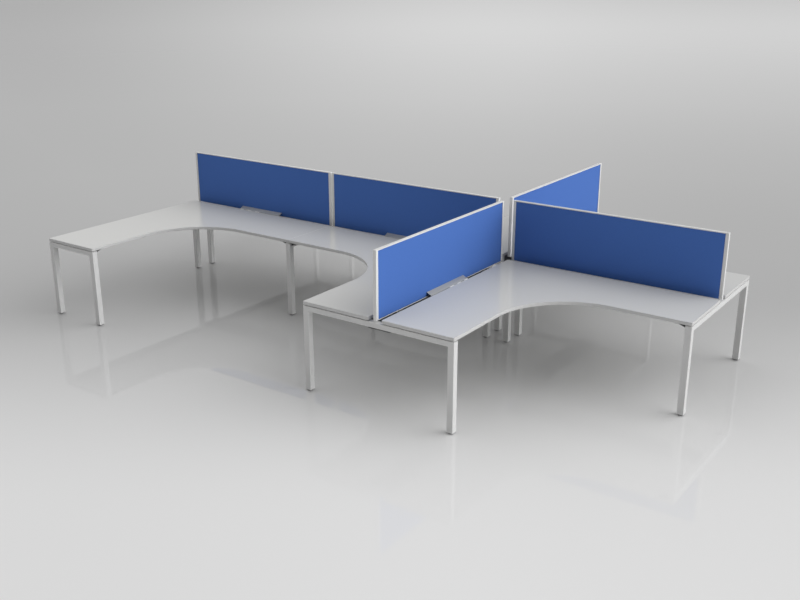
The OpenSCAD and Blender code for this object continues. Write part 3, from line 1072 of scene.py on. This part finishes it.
class WORKSTATION_OT_screen_frames(bpy.types.Operator):
    """Make one screen's posts and slim rails, and copy them to the five screens"""

    bl_idname = "workstation.screen_frames"
    bl_label = "Screen frames"

    def execute(self, context):
        length = SCREEN_HIGH.x - SCREEN_LOW.x
        half = (SCREEN_HIGH.y - SCREEN_LOW.y) / 2
        base, top = SCREEN_LOW.z, SCREEN_HIGH.z
        width, slim = sizes().post_width, sizes().rail_height
        upper = grooved_bar(
            "upper_rail",
            (0.0, -half, top - slim),
            (length, half, top),
            Vector((0, 0, -1)),
            sizes().rail_groove,
        )
        lower = grooved_bar(
            "lower_rail",
            (0.0, -half, base),
            (length, half, base + slim),
            Vector((0, 0, 1)),
            sizes().rail_groove,
        )
        for rail in (upper, lower):
            trim_ends(rail, width, length - width)
        parts = [
            hollow_post((0.0, -half, base), (width, half, top), 1),
            hollow_post((length - width, -half, base), (length, half, top), -1),
            upper,
            lower,
        ]
        for part in parts:
            round_edges(part, sizes().profile_edge, 2)
        first = joined(parts, "profile_frame_pattern")
        for wing in WINGS:
            piece = bpy.data.objects.new("profile_frame_" + wing, first.data.copy())
            context.scene.collection.objects.link(piece)
            piece.data.transform(wing_transform(wing))
            finish_piece(
                piece,
                profile_coat(),
                stands_for=["screen_frame_" + wing],
            )
        bpy.data.objects.remove(first)
        return {"FINISHED"}


class WORKSTATION_OT_screen_panels(bpy.types.Operator):
    """Make the fabric-covered panels, whose cloth runs down into the groove"""

    bl_idname = "workstation.screen_panels"
    bl_label = "Screen panels"

    def execute(self, context):
        start = PANEL_LOW.x - SCREEN_LOW.x
        length = PANEL_HIGH.x - PANEL_LOW.x
        half = (PANEL_HIGH.y - PANEL_LOW.y) / 2
        tuck, drop = sizes().tuck_width, sizes().tuck_depth
        border = drop - half
        first = box_piece(
            "panel_pattern",
            (start, border, PANEL_LOW.z),
            (start + length, -border, PANEL_HIGH.z),
        )
        centre_x = start + length / 2
        centre_z = (PANEL_LOW.z + PANEL_HIGH.z) / 2

        def innermost(middle, normal):
            """Tells the face in the middle of either side of the panel."""
            return (
                abs(normal.y) > SAME_WAY
                and abs(middle.x - centre_x) < NEAR_MIDDLE
                and abs(middle.z - centre_z) < NEAR_MIDDLE
            )

        bpy.ops.object.mode_set(mode="EDIT")
        # A level border in the groove, then a short steep rise and a long gentle one
        steep = 0.65
        for width, rise in (
            (sizes().groove_depth, 0.0),
            (tuck / 3, drop * steep),
            (tuck * 2 / 3, drop * (1 - steep)),
        ):
            select_faces(first, innermost)
            bpy.ops.mesh.inset(thickness=width, depth=rise)
        bpy.ops.object.mode_set(mode="OBJECT")
        round_edges(first, sizes().band_edge, 2)
        for wing in WINGS:
            piece = bpy.data.objects.new("fabric_panel_" + wing, first.data.copy())
            context.scene.collection.objects.link(piece)
            piece.data.transform(wing_transform(wing))
            finish_piece(
                piece,
                fabric(),
                stands_for=["screen_panel_" + wing],
            )
        bpy.data.objects.remove(first)
        return {"FINISHED"}


class WORKSTATION_OT_screen_supports(bpy.types.Operator):
    """Make the straps that carry the screens"""

    bl_idname = "workstation.screen_supports"
    bl_label = "Screen supports"

    def execute(self, context):
        supports = merged_copy("screen_supports", "support_straps")
        round_edges(supports, sizes().plate_edge, 2)
        # The straps' dark coat also paints shade, so that they sink into the gap under
        # the screens
        finish_piece(
            supports,
            dark_steel("tray_coat", colours().tray_and_painted_shade),
            stands_for=["screen_supports"],
        )
        return {"FINISHED"}


class WORKSTATION_OT_cable_flaps(bpy.types.Operator):
    """Make the six cable flaps, each on its own body, and finish their hinges"""

    bl_idname = "workstation.cable_flaps"
    bl_label = "Cable flaps and hinges"

    def execute(self, context):
        for desk in DESKS:
            node = "cable_flap_" + desk
            flap = merged_copy(node, "flap_plate_" + desk)
            round_edges(flap, sizes().flap_edge, 2)
            finish_piece(
                flap,
                anodised(),
                body="flap_" + desk,
                stands_for=[node],
            )
        dress_nodes(["flap_hinge_leaves", "flap_hinge_pins"], bright_hinge())
        return {"FINISHED"}


class WORKSTATION_OT_stage(bpy.types.Operator):
    """Make the floor, the surrounding light and the camera"""

    bl_idname = "workstation.stage"
    bl_label = "Stage"

    def execute(self, context):
        setting = context.scene.workstation_stage
        self.make_floor(setting)
        self.make_air(setting)
        self.make_camera(setting)
        scene = context.scene
        scene.view_settings.view_transform = "Standard"
        return {"FINISHED"}

    def make_floor(self, setting):
        """A wide pale floor with painted light: lighter in front and on the right, with
        a painted glow far off on the right, and fading out at its rim.
        """
        only()
        bpy.ops.mesh.primitive_circle_add(
            vertices=96, radius=FLOOR_RADIUS, fill_type="NGON", location=(0.0, 0.0, 0.0)
        )
        floor = bpy.context.object
        floor.name = "studio_floor"
        material, tree, shader = blank_material("studio_floor")
        place = tree.nodes.new("ShaderNodeTexCoord").outputs["Object"]
        tone, painted_glow = self.painted_floor_light(tree, place, setting)
        tree.links.new(tone, shader.inputs["Base Color"])
        # Painted glow: the floor gives off faint light of its own far off on the right
        tree.links.new(painted_glow, shader.inputs["Emission Strength"])
        shader.inputs["Emission Color"].default_value = WHITE
        shader.inputs["Roughness"].default_value = 0.0
        shader.inputs["Specular IOR Level"].default_value = 0.32
        radius = tree.nodes.new("ShaderNodeVectorMath")
        radius.operation = "LENGTH"
        tree.links.new(place, radius.inputs[0])
        fade = eased(tree, radius.outputs["Value"], *FLOOR_FADE)
        clear = tree.nodes.new("ShaderNodeBsdfTransparent")
        blend = mixed(tree, fade, shader.outputs["BSDF"], clear.outputs["BSDF"])
        surface = tree.get_output_node("CYCLES").inputs["Surface"]
        tree.links.new(blend, surface)
        floor.data.materials.append(material)

    def painted_floor_light(self, tree, place, setting):
        """The floor's grey with painted light in front and on the right, and its painted
        glow far off on the right, both smooth over the place.
        """
        depth, aside = (
            calculate(tree, "SUBTRACT", along(tree, place, way), way.dot(FLOOR_START))
            for way in (FLOOR_AHEAD, FLOOR_ASIDE)
        )
        distance = calculate(tree, "MAXIMUM", depth, LEAST_DEPTH)
        slope = calculate(tree, "DIVIDE", aside, distance)
        right = eased(tree, slope, *RIGHT_SLOPES)
        # Painted light: a lighter patch in front of the desks, fading towards the sides
        width = calculate(tree, "ABSOLUTE", aside)
        central = eased(tree, width, *NEAR_WIDTHS)
        near = calculate(tree, "MULTIPLY", eased(tree, depth, *NEAR_DEPTHS), central)
        far = eased(tree, calculate(tree, "LOGARITHM", distance, math.e), *FAR_DEPTHS)
        # Painted light: the right side of the floor is lighter
        rise = RIGHT_PAINTED_LIGHT * setting.floor_tone
        tone = calculate(tree, "MULTIPLY_ADD", right, rise, setting.floor_tone)
        tone = calculate(tree, "MULTIPLY_ADD", near, setting.near_painted_light, tone)
        # Painted glow, far off on the right
        painted_glow = calculate(tree, "MULTIPLY", right, far)
        return tone, calculate(tree, "MULTIPLY", painted_glow, setting.far_painted_glow)

    def make_air(self, setting):
        """Four broad glows, which shiny surfaces see no brighter than the backdrop.

        The camera sees the plain backdrop, also through the floor's rim or clear parts.
        """
        world = bpy.data.worlds.new("studio_air")
        bpy.context.scene.world = world
        world.use_nodes = True
        tree = world.node_tree
        tree.nodes.clear()
        way = tree.nodes.new("ShaderNodeTexCoord").outputs["Generated"]
        narrow, wide = 4.0, 2.0
        level = 0.0
        for strength, centre, tightness in (
            (setting.right_glow, (1.0, 0.3, 0.45), narrow),
            (setting.far_glow, (0.8, 0.8, 0.5), narrow),
            (setting.left_glow, (-1.0, 0.0, 0.7), wide),
            (setting.roof_glow, (0.0, 0.0, 1.0), wide),
        ):
            facing = along(tree, way, Vector(centre).normalized())
            ahead = calculate(tree, "MAXIMUM", facing, 0.0)
            glow = calculate(tree, "POWER", ahead, tightness)
            level = calculate(tree, "MULTIPLY_ADD", glow, strength, level)
        path = tree.nodes.new("ShaderNodeLightPath")
        capped = calculate(tree, "MINIMUM", level, setting.backdrop)
        excess = calculate(tree, "SUBTRACT", level, capped)
        excess = calculate(tree, "MULTIPLY", excess, path.outputs["Is Glossy Ray"])
        lit = background(tree, calculate(tree, "SUBTRACT", level, excess))
        shown = background(tree, setting.backdrop)
        seen = path.outputs["Is Camera Ray"]
        seen = calculate(tree, "MAXIMUM", seen, path.outputs["Is Transmission Ray"])
        result = tree.nodes.new("ShaderNodeOutputWorld")
        tree.links.new(mixed(tree, seen, lit, shown), result.inputs["Surface"])

    def make_camera(self, setting):
        """The camera, level from side to side, at its place over the floor."""
        camera = bpy.data.cameras.new("camera")
        camera.lens = setting.camera_lens
        camera.sensor_width = 36.0
        camera.clip_end = 300.0
        holder = bpy.data.objects.new("camera", camera)
        bpy.context.scene.collection.objects.link(holder)
        holder.location = setting.camera_place
        holder.rotation_euler = (
            math.pi / 2 - setting.camera_dip,
            0.0,
            setting.camera_turn,
        )
        bpy.context.scene.camera = holder


class WORKSTATION_PT_panel(bpy.types.Panel):
    """Lists the operators in the sidebar"""

    bl_idname = "WORKSTATION_PT_panel"
    bl_label = "Workstation"
    bl_space_type = "VIEW_3D"
    bl_region_type = "UI"
    bl_category = "Workstation"

    def draw(self, context):
        column = self.layout.column(align=True)
        for operator in OPERATORS:
            column.operator(operator.bl_idname)


OPERATORS = (
    WORKSTATION_OT_desktops,
    WORKSTATION_OT_edge_bands,
    WORKSTATION_OT_steel_frames,
    WORKSTATION_OT_fixings,
    WORKSTATION_OT_feet,
    WORKSTATION_OT_screen_frames,
    WORKSTATION_OT_screen_panels,
    WORKSTATION_OT_screen_supports,
    WORKSTATION_OT_cable_flaps,
    WORKSTATION_OT_stage,
)
SETTINGS = {
    "workstation_sizes": WorkstationSizes,
    "workstation_colours": WorkstationColours,
    "workstation_stage": WorkstationStage,
}


def register():
    for name, group in SETTINGS.items():
        bpy.utils.register_class(group)
        setattr(bpy.types.Scene, name, bpy.props.PointerProperty(type=group))
    for operator in OPERATORS:
        bpy.utils.register_class(operator)
    bpy.utils.register_class(WORKSTATION_PT_panel)


def unregister():
    bpy.utils.unregister_class(WORKSTATION_PT_panel)
    for operator in reversed(OPERATORS):
        bpy.utils.unregister_class(operator)
    for name, group in SETTINGS.items():
        delattr(bpy.types.Scene, name)
        bpy.utils.unregister_class(group)


def main():
    """Makes every piece in order."""
    register()
    bpy.ops.workstation.desktops()
    bpy.ops.workstation.edge_bands()
    bpy.ops.workstation.steel_frames()
    bpy.ops.workstation.fixings()
    bpy.ops.workstation.feet()
    bpy.ops.workstation.screen_frames()
    bpy.ops.workstation.screen_panels()
    bpy.ops.workstation.screen_supports()
    bpy.ops.workstation.cable_flaps()
    bpy.ops.workstation.stage()


if __name__ == "__main__":
    main()
